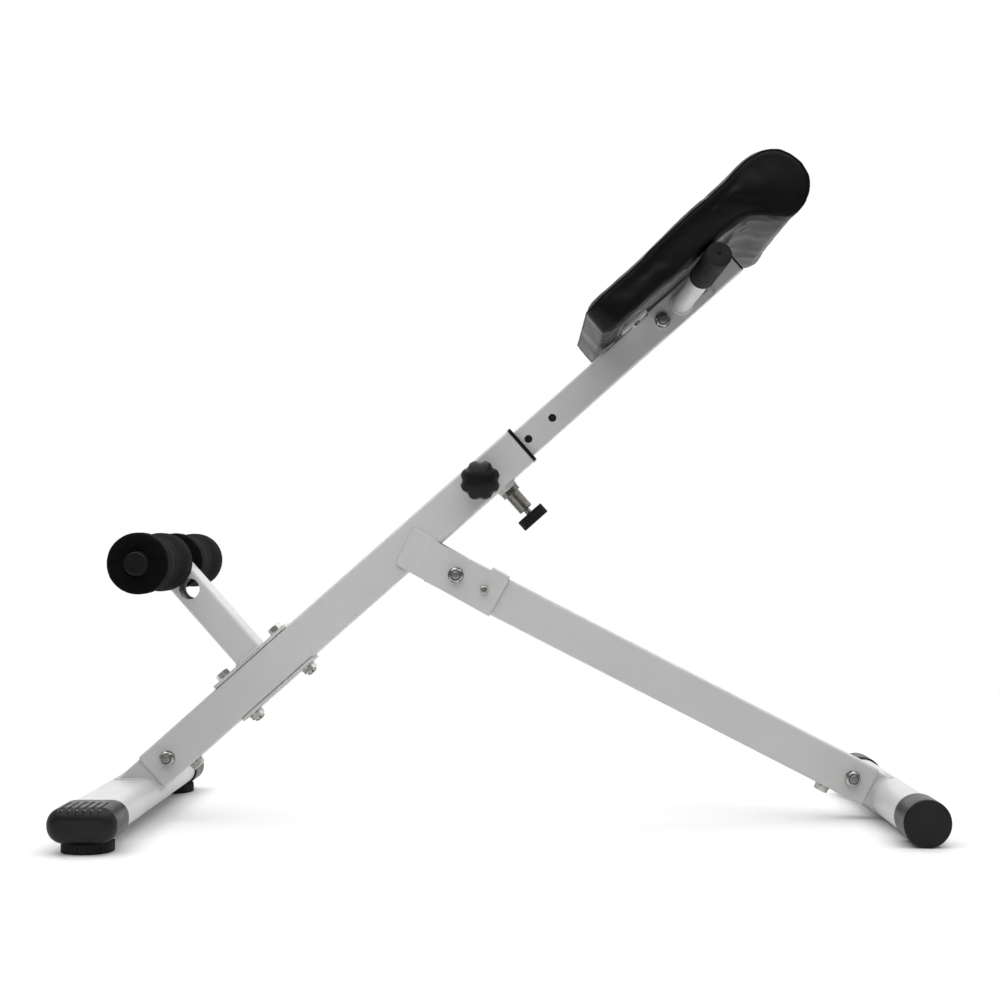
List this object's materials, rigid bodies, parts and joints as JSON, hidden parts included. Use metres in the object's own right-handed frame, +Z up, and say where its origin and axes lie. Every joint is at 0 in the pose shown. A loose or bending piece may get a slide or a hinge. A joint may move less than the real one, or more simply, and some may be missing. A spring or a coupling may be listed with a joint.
{
  "type": "roman chair",
  "caption": "Folding hyperextension bench: inclined tube frame with sliding padded mast, side handles, foam ankle rollers, two stabilisers and a folding front leg.",
  "frame": {"origin": "centre of the footprint on the floor", "axes": "+X from the rear stabiliser to the front one, +Y to the user's left, +Z up"},
  "size_m": [1.0224, 0.57, 0.8032],
  "materials": {
    "powder_coat": "semi-gloss light grey powder coat",
    "zinc": "bright zinc plate",
    "satin_steel": "satin plated steel",
    "black_plastic": "moulded black plastic",
    "foot_rubber": "hard black rubber",
    "black_foam": "matte closed-cell foam",
    "grip_rubber": "textured black grip",
    "black_vinyl": "grained black vinyl",
    "plywood": "black-stained plywood"
  },
  "bodies": {
    "frame": {"main_tube": "powder_coat", "tube_bush": "black_plastic", "leg_bracket": "powder_coat", "pin_boss": "powder_coat", "pin_sleeve": "satin_steel", "knob_boss": "powder_coat", "rear_stabiliser": "powder_coat", "rear_cap_left": "black_plastic", "rear_cap_right": "black_plastic", "roller_post": "powder_coat", "post_backing_plate": "powder_coat", "post_bolts": "zinc", "post_plug": "black_plastic", "roller_axle": "satin_steel", "axle_plugs": "black_plastic", "pivot_bolt": "zinc", "rear_cross_bolt": "zinc", "rear_lower_bolt": "zinc", "frame_lock_nuts": "zinc", "frame_washers": "zinc", "lock_pin_bush": "powder_coat", "lock_pin_tip": "zinc"},
    "mast": {"mast_tube": "powder_coat", "mast_plug": "black_plastic", "mast_guide": "black_plastic", "pad_brackets": "powder_coat", "pad_screws": "zinc", "pad_board": "plywood", "pad_cushion": "black_vinyl", "handle_left": "powder_coat", "handle_right": "powder_coat", "grip_left": "grip_rubber", "grip_right": "grip_rubber", "handle_bolts": "zinc", "handle_washers": "zinc", "handle_lock_nuts": "zinc"},
    "leg": {"leg_tube": "powder_coat", "leg_plug": "black_plastic", "front_stabiliser": "powder_coat", "front_cap_left": "black_plastic", "front_cap_right": "black_plastic", "leg_cross_bolt": "zinc", "leg_lower_bolt": "zinc", "leg_lock_nut": "zinc", "leg_washers": "zinc"},
    "roller_left": {"foam_roller_left": "black_foam", "roller_core_left": "black_plastic"},
    "roller_right": {"foam_roller_right": "black_foam", "roller_core_right": "black_plastic"},
    "pull_pin": {"pull_pin": "satin_steel", "pull_knob": "black_plastic", "pull_pin_spring": "zinc"},
    "clamp_screw": {"clamp_screw": "zinc"},
    "star_knob": {"star_knob": "black_plastic"},
    "lock_pin": {"leg_lock_pin": "zinc", "leg_lock_knob": "black_plastic"},
    "foot_disc_left": {"foot_disc_left": "foot_rubber", "foot_screw_left": "zinc"},
    "foot_disc_right": {"foot_disc_right": "foot_rubber", "foot_screw_right": "zinc"}
  },
  "joints": [
    {"name": "mast_slide", "type": "slide", "parent": "frame", "child": "mast", "axis": [0.749, 0, 0.6626], "range_m": [-0.12, 0.08]},
    {"name": "leg_fold", "type": "hinge", "parent": "frame", "child": "leg", "pos_m": [-0.06319, 0, 0.30816], "axis": [0, 1, 0], "range_deg": [0, 110]},
    {"name": "roller_left_spin", "type": "hinge", "parent": "frame", "child": "roller_left", "pos_m": [-0.42717, 0, 0.32461], "axis": [0, 1, 0], "continuous": true},
    {"name": "roller_right_spin", "type": "hinge", "parent": "frame", "child": "roller_right", "pos_m": [-0.42717, 0, 0.32461], "axis": [0, 1, 0], "continuous": true},
    {"name": "pull_pin_slide", "type": "slide", "parent": "frame", "child": "pull_pin", "axis": [0.6626, 0, -0.749], "range_m": [0, 0.01], "stiffness_N_per_m": 1500, "springref_m": -0.01, "deforming": ["pull_pin_spring"]},
    {"name": "clamp_screw_travel", "type": "slide", "parent": "frame", "child": "clamp_screw", "axis": [0, -1, 0], "range_m": [0, 0.0055]},
    {"name": "star_knob_turn", "type": "hinge", "parent": "clamp_screw", "child": "star_knob", "pos_m": [-0.03205, 0, 0.42584], "axis": [0, -1, 0], "range_deg": [0, 1080]},
    {"name": "lock_pin_slide", "type": "slide", "parent": "frame", "child": "lock_pin", "axis": [0, 1, 0], "range_m": [0, 0.04]},
    {"name": "foot_left_turn", "type": "hinge", "parent": "frame", "child": "foot_disc_left", "pos_m": [-0.4712, 0.245, 0], "axis": [0, 0, -1], "range_deg": [0, 1080]},
    {"name": "foot_right_turn", "type": "hinge", "parent": "frame", "child": "foot_disc_right", "pos_m": [-0.4712, -0.245, 0], "axis": [0, 0, -1], "range_deg": [0, 1080]}
  ],
  "couplings": [
    {"joint": "clamp_screw_travel", "follows": "star_knob_turn", "m_per_rad": 0.00027852}
  ]
}
